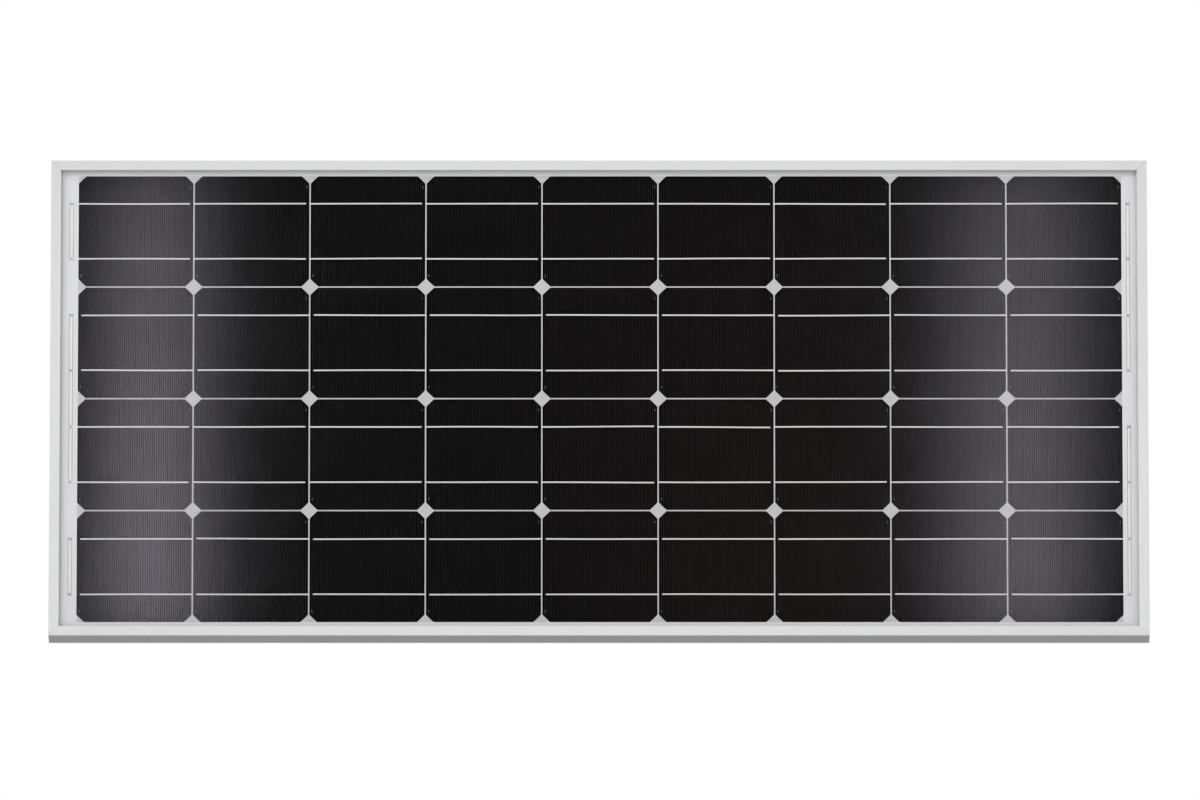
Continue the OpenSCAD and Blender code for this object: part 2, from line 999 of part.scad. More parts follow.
// A ring of clamping fingers that the nut presses on the cable.
module clamp_ring() {
    difference() {
        tube(spigot_bore_r - ring_play, cable_d / 2 + ring_play, ring_start_s, ring_end_s);
        for (slot = [0 : slot_count - 1])
            rotate([0, 0, slot * 360 / slot_count])
                block(
                    [0, -ring_slot_w / 2, ring_start_s + ring_collar],
                    [spigot_r, ring_slot_w / 2, ring_end_s + cut]
                );
    }
}

module compression_nut() {
    difference() {
        translate([0, 0, nut_start_s])
            cylinder(r = nut_r, h = nut_end_s - nut_start_s);
        translate([0, 0, nut_start_s + nut_wall])
            cylinder(r = spigot_r + nut_play, h = nut_end_s - nut_start_s);
        translate([0, 0, nut_start_s - cut])
            cylinder(r = cable_d / 2 + entry_play, h = nut_wall + 2 * cut);
        for (grip = [0 : grip_count - 1])
            rotate([0, 0, grip * 360 / grip_count])
                translate([nut_r + grip_out, 0, nut_start_s + grip_start])
                    cylinder(r = grip_r, h = nut_end_s - nut_start_s);
    }
}

module gland_seal_positive() {
    color("dimgray")
        at_gland(1)
            cable_seal();
}

module gland_ring_positive() {
    color("gray")
        at_gland(1)
            clamp_ring();
}

module gland_nut_positive() {
    color([0.12, 0.12, 0.12])
        at_gland(1)
            compression_nut();
}

module gland_seal_negative() {
    color("dimgray")
        at_gland(-1)
            cable_seal();
}

module gland_ring_negative() {
    color("gray")
        at_gland(-1)
            clamp_ring();
}

module gland_nut_negative() {
    color([0.12, 0.12, 0.12])
        at_gland(-1)
            compression_nut();
}

// ---------- leads ----------

// Steps of a lead from the box: out, round a loop, back beside itself and over to its connector.
function cable_steps(before, after) = [
    [before + cable_run],
    [-loop_turn, bend_r],
    [180 + 2 * loop_turn, bend_r],
    [-loop_turn, bend_r],
    [return_run],
    [-shift_turn, bend_r],
    [shift_turn, bend_r],
    [connector_run + after]
];

module cable_bar(side, before, after, r_out, r_in) {
    mirror([0, 0, side < 0 ? 1 : 0])
        translate([box_x + sheath_start_x - before, backsheet_back_y + cable_y, exit_z])
            bent_bar(cable_steps(before, after), r_out, r_in);
}

module cable_sheath(side) {
    color([0.08, 0.08, 0.08])
        cable_bar(side, 0, 0, cable_d / 2, copper_d / 2 + copper_play);
}

module conductor(side) {
    color("peru")
        cable_bar(side, sheath_start_x - barrel_x[0] - 1, copper_end_s - seat_s, copper_d / 2, 0);
}

module cable_sheath_positive() {
    cable_sheath(1);
}

module conductor_positive() {
    conductor(1);
}

module cable_sheath_negative() {
    cable_sheath(-1);
}

module conductor_negative() {
    conductor(-1);
}

// A strap round the outgoing and returning cable, with its lock beside it.
module cable_tie() {
    r_in = cable_d / 2 + tie_play;
    r_out = r_in + tie_t;
    rotate([90, 0, 90])
        linear_extrude(tie_w)
            difference() {
                union() {
                    rotate(90)
                        slot_outline(cable_gap + 2 * r_out, 2 * r_out);
                    translate([r_in, -tie_lock / 2])
                        square([tie_lock, tie_lock]);
                }
                rotate(90)
                    slot_outline(cable_gap + 2 * r_in, 2 * r_in);
                translate([r_out + tie_window[0], 0])
                    centred_rect(tie_window[0], tie_window[1]);
            }
}

module cable_ties() {
    color([0.05, 0.05, 0.05])
        for (side = [0, 1], x = tie_x)
            mirror([0, 0, side])
                translate([
                    box_x + sheath_start_x + cable_run - return_run + x - tie_x[0],
                    backsheet_back_y + cable_y,
                    exit_z + cable_gap / 2
                ])
                    cable_tie();
}

// ---------- connectors ----------

// The rear of a housing: the threaded spigot, its collar and the body as far as body_end.
module connector_body(body_end) {
    cylinder(r = spigot_r, h = spigot_l);
    translate([0, 0, spigot_l])
        cylinder(r = collar_r, h = collar_s - spigot_l);
    translate([0, 0, spigot_l])
        cylinder(r = body_r, h = body_end - spigot_l);
}

module connector_bores() {
    translate([0, 0, -cut])
        cylinder(r = spigot_bore_r, h = seat_s + cut);
    cylinder(r = contact_bore_r, h = front_s + cut);
}

// A latch arm of the plug with the hook at its end.
module latch_arm() {
    arm_out = body_r - 0.2;
    arm_in = arm_out - latch_t;
    arm_end_s = front_s - latch_end;
    block([arm_in, -latch_w / 2, plug_body_s - latch_root], [arm_out, latch_w / 2, arm_end_s]);
    block([arm_in, -latch_w / 2, arm_end_s - latch_hook_l], [arm_out + latch_hook, latch_w / 2, arm_end_s]);
}

// The plug has a nose that enters the socket and two latch arms beside it.
module plug_housing() {
    color([0.1, 0.1, 0.1])
        at_connector(1)
            difference() {
                union() {
                    connector_body(plug_body_s);
                    cylinder(r = nose_r, h = front_s);
                    for (side = [0, 1])
                        rotate([0, 0, side * 180])
                            latch_arm();
                }
                connector_bores();
                translate([0, 0, plug_body_s + ring_groove_s])
                    tube(nose_r + cut, nose_r - ring_groove_t, 0, ring_groove_w);
            }
}

// The socket has an open mouth with a window on each side for the latch arms.
module socket_housing() {
    color([0.1, 0.1, 0.1])
        at_connector(-1)
            difference() {
                connector_body(front_s);
                connector_bores();
                translate([0, 0, socket_s])
                    cylinder(r = socket_r, h = front_s);
                for (side = [0, 1])
                    rotate([0, 0, side * 180])
                        block(
                            [socket_r - cut, -catch_w / 2, socket_s + catch_s[0]],
                            [body_r + cut, catch_w / 2, socket_s + catch_s[1]]
                        );
            }
}

// The crimped rear end that both contacts share.
module contact_barrel() {
    difference() {
        union() {
            translate([0, 0, contact_start_s])
                cylinder(r = contact_r, h = copper_end_s + contact_collar - contact_start_s);
            translate([0, 0, copper_end_s + contact_collar / 2])
                cylinder(r = contact_bore_r - ring_play / 2, h = contact_collar);
        }
        translate([0, 0, contact_start_s - cut])
            cylinder(d = copper_d + 2 * copper_play, h = copper_end_s - contact_start_s + cut);
    }
}

module plug_contact() {
    tube_wall = 0.6;
    color("goldenrod")
        at_connector(1) {
            contact_barrel();
            tube(contact_r, contact_r - tube_wall, copper_end_s + contact_collar, front_s - contact_end_gap);
        }
}

module socket_contact() {
    pin_tip_r = 1.5;
    pin_start_s = copper_end_s + contact_collar;
    pin_end_s = front_s - 4;
    color("goldenrod")
        at_connector(-1) {
            contact_barrel();
            translate([0, 0, pin_start_s])
                cylinder(r = pin_tip_r, h = pin_end_s - pin_start_s);
            translate([0, 0, pin_end_s])
                sphere(r = pin_tip_r);
        }
}

module plug_o_ring() {
    ring_r = 0.75;
    ring_play_in = 0.02;
    color("firebrick")
        at_connector(1)
            translate([0, 0, plug_body_s + ring_groove_s + ring_groove_w / 2])
                rotate_extrude()
                    translate([nose_r - ring_groove_t + ring_r + ring_play_in, 0])
                        circle(ring_r);
}

module plug_seal() {
    color("dimgray")
        at_connector(1)
            cable_seal();
}

module plug_ring() {
    color("gray")
        at_connector(1)
            clamp_ring();
}

module plug_nut() {
    color([0.12, 0.12, 0.12])
        at_connector(1)
            compression_nut();
}

module socket_seal() {
    color("dimgray")
        at_connector(-1)
            cable_seal();
}

module socket_ring() {
    color("gray")
        at_connector(-1)
            clamp_ring();
}

module socket_nut() {
    color([0.12, 0.12, 0.12])
        at_connector(-1)
            compression_nut();
}

frame_rail_top();
frame_rail_bottom();
frame_rail_left();
frame_rail_right();
corner_keys();
edge_seal();
front_glass();
front_encapsulant();
cell_string_1();
cell_string_2();
cell_string_3();
cell_string_4();
tabbing_ribbons_1();
tabbing_ribbons_2();
tabbing_ribbons_3();
tabbing_ribbons_4();
bus_ribbons_left();
bus_ribbons_right();
lead_out_ribbons();
lead_out_insulation();
rear_encapsulant();
backsheet();
rating_label();
box_base();
box_lid();
box_gasket();
box_adhesive();
terminal_negative();
terminal_middle();
terminal_positive();
ribbon_clips();
bypass_diodes();
gland_seal_positive();
gland_ring_positive();
gland_nut_positive();
gland_seal_negative();
gland_ring_negative();
gland_nut_negative();
cable_sheath_positive();
conductor_positive();
cable_sheath_negative();
conductor_negative();
cable_ties();
plug_housing();
plug_contact();
plug_o_ring();
plug_seal();
plug_ring();
plug_nut();
socket_housing();
socket_contact();
socket_seal();
socket_ring();
socket_nut();
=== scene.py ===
"""Looks of a framed solar module with 36 cells behind glass, a junction box and two leads.

Metres, in the part's own frame: X runs along the long rails, Z is up and the sunny side faces -Y.
"""

import json
import math
import random

import bmesh
import bpy
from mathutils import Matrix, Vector

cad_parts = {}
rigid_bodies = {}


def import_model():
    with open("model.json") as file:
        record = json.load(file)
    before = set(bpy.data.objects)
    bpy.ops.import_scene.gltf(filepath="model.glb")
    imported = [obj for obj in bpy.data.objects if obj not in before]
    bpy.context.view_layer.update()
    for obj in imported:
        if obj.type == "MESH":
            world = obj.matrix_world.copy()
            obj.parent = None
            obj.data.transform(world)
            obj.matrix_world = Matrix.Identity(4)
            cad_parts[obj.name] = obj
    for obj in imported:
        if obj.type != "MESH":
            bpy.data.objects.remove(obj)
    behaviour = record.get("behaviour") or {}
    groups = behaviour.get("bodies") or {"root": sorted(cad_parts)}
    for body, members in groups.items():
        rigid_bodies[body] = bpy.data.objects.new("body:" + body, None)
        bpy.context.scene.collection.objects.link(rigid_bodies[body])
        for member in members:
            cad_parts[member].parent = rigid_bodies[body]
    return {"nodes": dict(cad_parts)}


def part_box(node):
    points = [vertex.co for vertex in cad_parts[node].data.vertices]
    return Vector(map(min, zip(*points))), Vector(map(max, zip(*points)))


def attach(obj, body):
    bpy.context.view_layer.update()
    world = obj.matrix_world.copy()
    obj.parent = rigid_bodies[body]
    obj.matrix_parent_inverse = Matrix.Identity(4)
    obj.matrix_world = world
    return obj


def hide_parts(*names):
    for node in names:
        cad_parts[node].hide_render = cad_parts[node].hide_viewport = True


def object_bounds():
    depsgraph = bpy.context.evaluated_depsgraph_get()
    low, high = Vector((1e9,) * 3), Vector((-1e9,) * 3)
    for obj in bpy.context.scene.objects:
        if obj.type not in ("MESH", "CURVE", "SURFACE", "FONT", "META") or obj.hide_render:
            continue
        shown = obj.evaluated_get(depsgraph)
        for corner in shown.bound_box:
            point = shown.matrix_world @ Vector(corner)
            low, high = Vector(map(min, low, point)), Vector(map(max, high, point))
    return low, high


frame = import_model()
cad_low, cad_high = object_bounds()
MM = 0.001

# Cell field, read from the frame
ROWS = 4
COLUMNS = 9
top_row_low, field_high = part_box("cell_string_1")
field_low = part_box(f"cell_string_{ROWS}")[0]
cell_gap = top_row_low.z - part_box("cell_string_2")[1].z
cell_pitch = (field_high.x - field_low.x + cell_gap) / COLUMNS
cell_size = cell_pitch - cell_gap
cell_front_y = field_low.y
cell_back_y = field_high.y

# Details of the cells and ribbons that the frame doesn't hold
INGOT_RADIUS = 83 * MM
RIBBON_WIDTH = 1.6 * MM
RIBBON_THICKNESS = 0.2 * MM
RIBBON_STOP = 3.7 * MM
FINGER_PITCH = 2.4 * MM
FINGER_WIDTH = 0.4 * MM
GRID_INSET = 1.8 * MM
print_front_y = cell_front_y - 0.02 * MM
print_back_y = cell_front_y + 0.01 * MM

# Camera
CAMERA_DISTANCE = 27
CAMERA_LENS = 741
CAMERA_ELEVATION = math.radians(-15.9)
AIM_RIGHT = 1.1 * MM  # from the middle of the part to the middle of the picture
AIM_UP = 1.2 * MM

# Studio. Angles are from the direction in which the front mirrors the camera.
LIGHT_BELOW = 0.56
FLAG_LEVEL = 0.004
FLAG_CORE = math.radians(18)
FLAG_EDGE = math.radians(45)
CARD_DISTANCE = 1.0
HAZE_DISTANCE = 1.05


# ---------- node building ----------

class Look:
    """A material being built, with short calls for the nodes that the looks share."""

    def __init__(self, name):
        self.material = bpy.data.materials.new(name)
        self.material.use_nodes = True
        self.tree = self.material.node_tree
        self.surface = self.tree.nodes["Principled BSDF"]
        self.output = self.tree.nodes["Material Output"]
        self.place = self.add("ShaderNodeTexCoord").outputs["Object"]

    def add(self, kind, inputs=None, **settings):
        """A new node; inputs maps a socket's name or number to a value or to another node's output."""
        node = self.tree.nodes.new(kind)
        for name, value in settings.items():
            setattr(node, name, value)
        for socket, value in (inputs or {}).items():
            self.feed(node.inputs[socket], value)
        return node

    def feed(self, socket, value):
        if isinstance(value, bpy.types.NodeSocket):
            self.tree.links.new(value, socket)
        else:
            socket.default_value = value

    def finish(self, **inputs):
        """Sets inputs of the Principled shader; underscores in the names stand for spaces."""
        for name, value in inputs.items():
            self.feed(self.surface.inputs[name.replace("_", " ")], value)
        return self.material

    def math(self, operation, a, b=0.0):
        return self.add("ShaderNodeMath", {0: a, 1: b}, operation=operation).outputs[0]

    def vector(self, operation, a, b=(0.0, 0.0, 0.0)):
        return self.add("ShaderNodeVectorMath", {0: a, 1: b}, operation=operation).outputs[0]

    def noise(self, density, detail=3.0):
        """Noise between 0 and 1; density is its number of spots a metre along X, Y and Z."""
        spread = self.vector("MULTIPLY", self.place, density)
        return self.add(
            "ShaderNodeTexNoise", {"Vector": spread, "Scale": 1.0, "Detail": detail}
        ).outputs["Fac"]

    def remap(self, value, low, high, to_low, to_high):
        return self.add(
            "ShaderNodeMapRange",
            {"Value": value, "From Min": low, "From Max": high, "To Min": to_low, "To Max": to_high},
        ).outputs["Result"]

    def mix(self, factor, a, b):
        """Colour a where factor is 0 and b where it is 1."""
        return self.add("ShaderNodeMix", {0: factor, 6: a, 7: b}, data_type="RGBA").outputs[2]

    def bump(self, height, depth):
        return self.add(
            "ShaderNodeBump", {"Height": height, "Distance": depth, "Strength": 1.0}
        ).outputs["Normal"]

    def between(self, value, low, high):
        """1 where value lies between low and high, 0 elsewhere."""
        return self.math(
            "MULTIPLY", self.math("GREATER_THAN", value, low), self.math("LESS_THAN", value, high)
        )

    def rolled_glass(self, depth):
        """The long, shallow waves of rolled glass, which every reflection in the front shows."""
        return self.bump(self.noise(even(70), 2.0), depth)

    def replace_surface(self, shader):
        """Puts another shader in the place of the Principled one."""
        self.feed(self.output.inputs["Surface"], shader.outputs[0])
        self.tree.nodes.remove(self.surface)
        return self.material

    def edge(self, radius):
        """1 on outer and inner edges within radius, 0 on open faces."""
        soft = self.add("ShaderNodeBevel", {"Radius": radius}, samples=4).outputs["Normal"]
        sharp = self.add("ShaderNodeNewGeometry").outputs["Normal"]
        along = self.add("ShaderNodeVectorMath", {0: soft, 1: sharp}, operation="DOT_PRODUCT")
        return self.remap(along.outputs["Value"], 1.0, 0.8, 0.0, 1.0)


def grey(level, tint=(1.0, 1.0, 1.0)):
    return (level * tint[0], level * tint[1], level * tint[2], 1.0)


def even(density):
    return (density, density, density)


# ---------- materials ----------

# Tints of grey, as shares of red, green and blue
COOL = (0.985, 0.99, 1.0)
LAVENDER = (0.99, 0.975, 1.0)
WARM = (1.0, 0.985, 0.98)
DUSK = (0.93, 0.87, 1.0)
EMBER = (1.0, 0.6, 0.58)
UMBER = (1.0, 0.92, 0.9)


def anodised_aluminium(name, density):
    """Satin anodised extrusion: die lines along the rail, a cloudy etch and brighter edges, partly wear and
    partly a painted highlight.
    """
    look = Look(name)
    lines = look.noise(density, 2.0)
    cloud = look.noise(even(14), 3.0)
    etch = look.noise(even(3800), 2.0)
    shade = look.mix(lines, grey(0.58, COOL), grey(0.65, COOL))
    clouded = look.mix(look.remap(cloud, 0.3, 0.7, 0.0, 0.35), shade, grey(0.57))
    # painted highlight: edges coloured brighter than the faces, partly standing for wear
    edge_highlight = look.mix(look.edge(0.5 * MM), clouded, grey(0.74))
    height = look.math("ADD", look.math("MULTIPLY", lines, 0.6), look.math("MULTIPLY", etch, 0.4))
    return look.finish(
        Base_Color=edge_highlight,
        Metallic=0.15,
        Roughness=look.remap(etch, 0.3, 0.7, 0.42, 0.56),
        Normal=look.bump(height, 0.02 * MM),
    )


def sawn_aluminium():
    look = Look("bare_aluminium")
    grain = look.noise((900, 60, 900))
    return look.finish(
        Base_Color=look.mix(grain, grey(0.5), grey(0.66)),
        Metallic=0.8,
        Roughness=0.45,
        Normal=look.bump(grain, 0.05 * MM),
    )


def solar_glass():
    """Low-iron glass with a fine rolled texture: mostly clear, with a soft reflection off its outside."""
    look = Look("solar_glass")
    clear = look.add("ShaderNodeBsdfTransparent", {"Color": grey(0.995, (0.995, 1.0, 0.997))})
    cloud = look.noise(even(30), 2.0)
    normal = look.rolled_glass(0.01 * MM)
    roughness = look.remap(cloud, 0.3, 0.7, 0.07, 0.09)
    sheen = look.add(
        "ShaderNodeBsdfGlossy", {"Color": grey(0.95, LAVENDER), "Roughness": roughness, "Normal": normal}
    )
    fresnel = look.add("ShaderNodeFresnel", {"IOR": 1.5, "Normal": normal}).outputs[0]
    inside = look.add("ShaderNodeNewGeometry").outputs["Backfacing"]
    share = look.math("MULTIPLY", fresnel, look.math("SUBTRACT", 1.0, inside))
    glass = look.add("ShaderNodeMixShader", {0: share, 1: clear.outputs[0], 2: sheen.outputs[0]})
    return look.replace_surface(glass)


def silicon(name, tint):
    """Textured monocrystalline silicon under its blue-black coating, a little different in every cell."""
    look = Look(name)
    from_left = look.vector("SUBTRACT", look.place, (field_low.x - cell_gap / 2, 0, 0))
    column = look.vector("FLOOR", look.vector("MULTIPLY", from_left, (1 / cell_pitch, 0, 0)))
    chance = look.add("ShaderNodeTexWhiteNoise", {"Vector": column}).outputs["Value"]
    cloud = look.noise(even(30), 3.0)
    level = look.math("ADD", look.math("MULTIPLY", chance, 0.5), look.math("MULTIPLY", cloud, 0.5))
    return look.finish(
        Base_Color=look.mix(level, grey(0.0001, tint), grey(0.0006, tint)),
        Roughness=look.remap(cloud, 0.3, 0.7, 0.12, 0.15),
        Normal=look.rolled_glass(0.008 * MM),
    )


def silver_paste(name, dark, light):
    """Printed silver, seen through the glass: dull, so that it darkens the cell's own reflections."""
    look = Look(name)
    grain = look.noise(even(5000), 2.0)
    return look.finish(
        Base_Color=look.mix(grain, grey(dark, UMBER), grey(light, UMBER)),
        Specular_IOR_Level=0.05,
        Roughness=look.remap(grain, 0.2, 0.8, 0.12, 0.2),
        Normal=look.rolled_glass(0.008 * MM),
    )


def tinned_copper(name, dark, light):
    """Solder-coated ribbon: bright, with flow marks along it and small dull spots."""
    look = Look(name)
    flow = look.noise((60, 900, 900), 3.0)
    spots = look.noise(even(700), 2.0)
    shade = look.mix(flow, grey(dark, WARM), grey(light, WARM))
    dull = look.mix(look.remap(spots, 0.62, 0.8, 0.0, 0.4), shade, grey(0.75 * dark))
    return look.finish(
        Base_Color=dull,
        Metallic=0.1,
        Roughness=look.remap(spots, 0.3, 0.7, 0.3, 0.45),
        Normal=look.bump(flow, 0.04 * MM),
    )


def solder():
    """Dull, slightly grainy solder."""
    look = Look("solder")
    grain = look.noise(even(1800), 3.0)
    return look.finish(
        Base_Color=look.mix(grain, grey(0.42, COOL), grey(0.6, COOL)),
        Metallic=0.3,
        Roughness=look.remap(grain, 0.3, 0.7, 0.35, 0.55),
        Normal=look.bump(grain, 0.05 * MM),
    )


def bus_tin(node, highlight_level, edge_shade_level):
    """Solder-coated bus ribbon with a painted highlight along its middle and painted shade along its edges.
    """
    look = Look(node)
    low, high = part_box(node)
    half_width = (high.x - low.x) / 2
    flow = look.noise((900, 900, 60), 3.0)
    across = look.add("ShaderNodeSeparateXYZ", {0: look.place}).outputs["X"]
    off_middle = look.math("ABSOLUTE", look.math("SUBTRACT", across, (low.x + high.x) / 2))
    # painted highlight in the middle of the ribbon, fading to painted shade at its edges
    edge_shade_mask = look.math("ADD", look.math("DIVIDE", off_middle, half_width), look.math("MULTIPLY", flow, 0.5))
    bright = look.mix(flow, grey(0.94 * highlight_level, WARM), grey(highlight_level, WARM))
    return look.finish(
        Base_Color=look.mix(look.remap(edge_shade_mask, 0.6, 1.0, 0.0, 1.0), bright, grey(edge_shade_level, WARM)),
        Metallic=0.1,
        Roughness=look.remap(flow, 0.3, 0.7, 0.3, 0.45),
        Normal=look.bump(flow, 0.04 * MM),
    )


def white_fill():
    """White sheet seen through the clear filling, with painted shade between the cells, so it is brighter in
    the margins than between the cells.
    """
    look = Look("rear_encapsulant")
    parts = look.add("ShaderNodeSeparateXYZ", {0: look.place})
    field_shade_mask = look.math(
        "MULTIPLY",
        look.between(parts.outputs["X"], field_low.x, field_high.x),
        look.between(parts.outputs["Z"], field_low.z, field_high.z),
    )
    cloud = look.noise(even(25), 4.0)
    weave = look.noise(even(1500), 2.0)
    margin = look.mix(cloud, grey(0.7, LAVENDER), grey(0.76, LAVENDER))
    # painted shade: the sheet between the cells coloured darker than in the margins
    between = look.mix(cloud, grey(0.5, LAVENDER), grey(0.56, LAVENDER))
    shade = look.mix(field_shade_mask, margin, between)
    return look.finish(
        Base_Color=look.mix(look.remap(weave, 0.3, 0.7, 0.0, 0.2), shade, grey(0.6, LAVENDER)),
        Roughness=0.6,
        Normal=look.bump(weave, 0.02 * MM),
    )


def sealant(name, level, shine):
    look = Look(name)
    cloud = look.noise(even(120), 4.0)
    return look.finish(
        Base_Color=look.mix(cloud, grey(level * 0.85), grey(level * 1.15)),
        Roughness=look.remap(cloud, 0.3, 0.7, shine, shine + 0.12),
        Normal=look.bump(cloud, 0.2 * MM),
    )


def moulded_plastic(name, level, grain_size):
    """Moulded plastic: a spark-eroded grain, slightly dusty, with a painted highlight on its edges."""
    look = Look(name)
    grain = look.noise(even(1 / grain_size), 2.0)
    cloud = look.noise(even(35), 4.0)
    base = look.mix(cloud, grey(level * 0.75, COOL), grey(level * 1.3, COOL))
    # painted highlight: edges coloured three times as bright as the faces
    edge_highlight = look.mix(look.edge(0.5 * MM), base, grey(level * 3))
    dust = look.remap(look.noise(even(160), 5.0), 0.55, 0.8, 0.0, 0.12)
    return look.finish(
        Base_Color=look.mix(dust, edge_highlight, grey(0.3, WARM)),
        Roughness=look.remap(cloud, 0.3, 0.7, 0.3, 0.46),
        Normal=look.bump(grain, grain_size * 0.16),
    )


def rubber(name, level):
    look = Look(name)
    grain = look.noise(even(2500), 2.0)
    cloud = look.noise(even(60), 3.0)
    return look.finish(
        Base_Color=look.mix(cloud, grey(level * 0.8), grey(level * 1.2)),
        Roughness=look.remap(grain, 0.3, 0.7, 0.6, 0.8),
        Normal=look.bump(grain, 0.02 * MM),
    )


def backsheet_film():
    """White weatherproof film with a satin grain; the cells show through very faintly."""
    look = Look("backsheet")
    parts = look.add("ShaderNodeSeparateXYZ", {0: look.place})

    def inside(coordinate, start, count):
        """1 over the cells and 0 over the gaps along one axis."""
        steps = look.math("DIVIDE", look.math("SUBTRACT", coordinate, start), cell_pitch)
        share = look.math("FRACT", steps)
        on_cell = look.math("LESS_THAN", share, cell_size / cell_pitch)
        return look.math("MULTIPLY", on_cell, look.between(steps, 0.0, float(count)))

    over_cells = look.math(
        "MULTIPLY",
        inside(parts.outputs["X"], field_low.x, COLUMNS),
        inside(parts.outputs["Z"], field_low.z, ROWS),
    )
    cloud = look.noise(even(9), 4.0)
    grain = look.noise(even(2200), 2.0)
    sheet = look.mix(cloud, grey(0.68, COOL), grey(0.73, COOL))
    shaded = look.mix(look.math("MULTIPLY", over_cells, 0.25), sheet, grey(0.5, COOL))
    height = look.math("ADD", look.math("MULTIPLY", grain, 0.25), look.math("MULTIPLY", over_cells, 0.75))
    return look.finish(
        Base_Color=shaded,
        Roughness=look.remap(grain, 0.3, 0.7, 0.4, 0.52),
        Normal=look.bump(height, 0.06 * MM),
    )


def label_film():
    look = Look("label")
    fibre = look.noise((1400, 1400, 300), 3.0)
    return look.finish(
        Base_Color=look.mix(fibre, grey(0.52), grey(0.6)),
        Roughness=look.remap(fibre, 0.3, 0.7, 0.3, 0.4),
        Normal=look.bump(fibre, 0.01 * MM),
    )


def insulation_film():
    look = Look("insulation_film")
    cloud = look.noise(even(80), 3.0)
    return look.finish(
        Base_Color=look.mix(cloud, (0.7, 0.66, 0.52, 1), (0.78, 0.75, 0.62, 1)),
        Roughness=look.remap(cloud, 0.3, 0.7, 0.3, 0.45),
    )


def plated_metal(name, dark, light, roughness):
    """Plated or drawn metal with rolling marks and slightly dulled patches."""
    look = Look(name)
    marks = look.noise((200, 2500, 2500), 2.0)
    patch = look.noise(even(180), 3.0)
    return look.finish(
        Base_Color=look.mix(look.math("MULTIPLY", marks, patch), light, dark),
        Metallic=1.0,
        Roughness=look.remap(patch, 0.3, 0.7, roughness, roughness + 0.15),
        Normal=look.bump(marks, 0.02 * MM),
    )


def cable_jacket():
    """Black cross-linked cable jacket: matt, with fine drawing lines and a dusty bloom."""
    look = Look("cable_sheath")
    lines = look.noise((40, 2600, 2600), 2.0)
    bloom = look.noise(even(45), 4.0)
    return look.finish(
        Base_Color=look.mix(bloom, grey(0.012), grey(0.026)),
        Roughness=look.remap(lines, 0.3, 0.7, 0.48, 0.62),
        Normal=look.bump(lines, 0.03 * MM),
    )


# ---------- lights, floor and camera ----------

def studio_world():
    """White for the camera and a soft white sky for the light, with a dark flag in front for reflections."""
    world = bpy.data.worlds.new("studio")
    bpy.context.scene.world = world
    world.use_nodes = True
    tree = world.node_tree
    background = tree.nodes["Background"]

    def add(kind, inputs=None, **settings):
        node = tree.nodes.new(kind)
        for name, value in settings.items():
            setattr(node, name, value)
        for socket, value in (inputs or {}).items():
            if isinstance(value, bpy.types.NodeSocket):
                tree.links.new(value, node.inputs[socket])
            else:
                node.inputs[socket].default_value = value
        return node

    def remap(value, low, high, to_low, to_high):
        ends = {"From Min": low, "From Max": high, "To Min": to_low, "To Max": to_high}
        return add("ShaderNodeMapRange", {"Value": value, **ends}).outputs["Result"]

    direction = add("ShaderNodeTexCoord").outputs["Generated"]
    height = add("ShaderNodeSeparateXYZ", {0: direction}).outputs["Z"]
    sky = remap(height, -0.05, 0.05, LIGHT_BELOW, 1.0)
    room = remap(height, -0.3, 0.7, 0.12, 1.1)
    flag = (0.0, -math.cos(CAMERA_ELEVATION), -math.sin(CAMERA_ELEVATION))
    toward_flag = add("ShaderNodeVectorMath", {0: direction, 1: flag}, operation="DOT_PRODUCT")
    nearness = toward_flag.outputs["Value"]
    reflected = remap(nearness, math.cos(FLAG_EDGE), math.cos(FLAG_CORE), room, FLAG_LEVEL)
    path = add("ShaderNodeLightPath")
    light = add("ShaderNodeMix", {0: path.outputs["Is Glossy Ray"], 2: sky, 3: reflected}).outputs[0]
    level = add("ShaderNodeMix", {0: path.outputs["Is Camera Ray"], 2: light, 3: 1.0}).outputs[0]
    tree.links.new(level, background.inputs["Strength"])
    background.inputs["Color"].default_value = (1, 1, 1, 1)


def floor_paint():
    """Pale floor that lets light pass from below, and lets the underside of the frame see the room."""
    look = Look("floor_paint")
    mottle = look.noise(even(3), 4.0)
    paint = look.add("ShaderNodeBsdfDiffuse", {"Color": look.mix(mottle, grey(0.88), grey(0.91))})
    clear = look.add("ShaderNodeBsdfTransparent")
    behind = look.add("ShaderNodeNewGeometry").outputs["Backfacing"]
    reach = look.add("ShaderNodeLightPath").outputs["Ray Length"]
    below_frame = 5 * MM
    close = look.math("LESS_THAN", reach, below_frame)
    unseen = look.math("MAXIMUM", behind, close)
    surface = look.add("ShaderNodeMixShader", {0: unseen, 1: paint.outputs[0], 2: clear.outputs[0]})
    return look.replace_surface(surface)


def mesh_piece(name, points, faces, material):
    """A new object from points in the part's frame."""
    mesh = bpy.data.meshes.new(name)
    mesh.from_pydata(points, [], faces)
    mesh.validate()
    mesh.materials.append(material)
    piece = bpy.data.objects.new(name, mesh)
    bpy.context.scene.collection.objects.link(piece)
    return piece


def add_floor():
    """A wide pale floor that reflections don't show, so that the glass stays dark from every side."""
    half = 15.0
    gap = 1 * MM
    z = cad_low.z - gap
    corners = [(-half, -half, z), (half, -half, z), (half, half, z), (-half, half, z)]
    floor = mesh_piece("floor", corners, [(0, 1, 2, 3)], floor_paint())
    floor.visible_glossy = False


def receivers(name, objects):
    """The only objects that a light or a card shines on."""
    group = bpy.data.collections.new(name)
    for lit in objects:
        group.objects.link(lit)
    return group


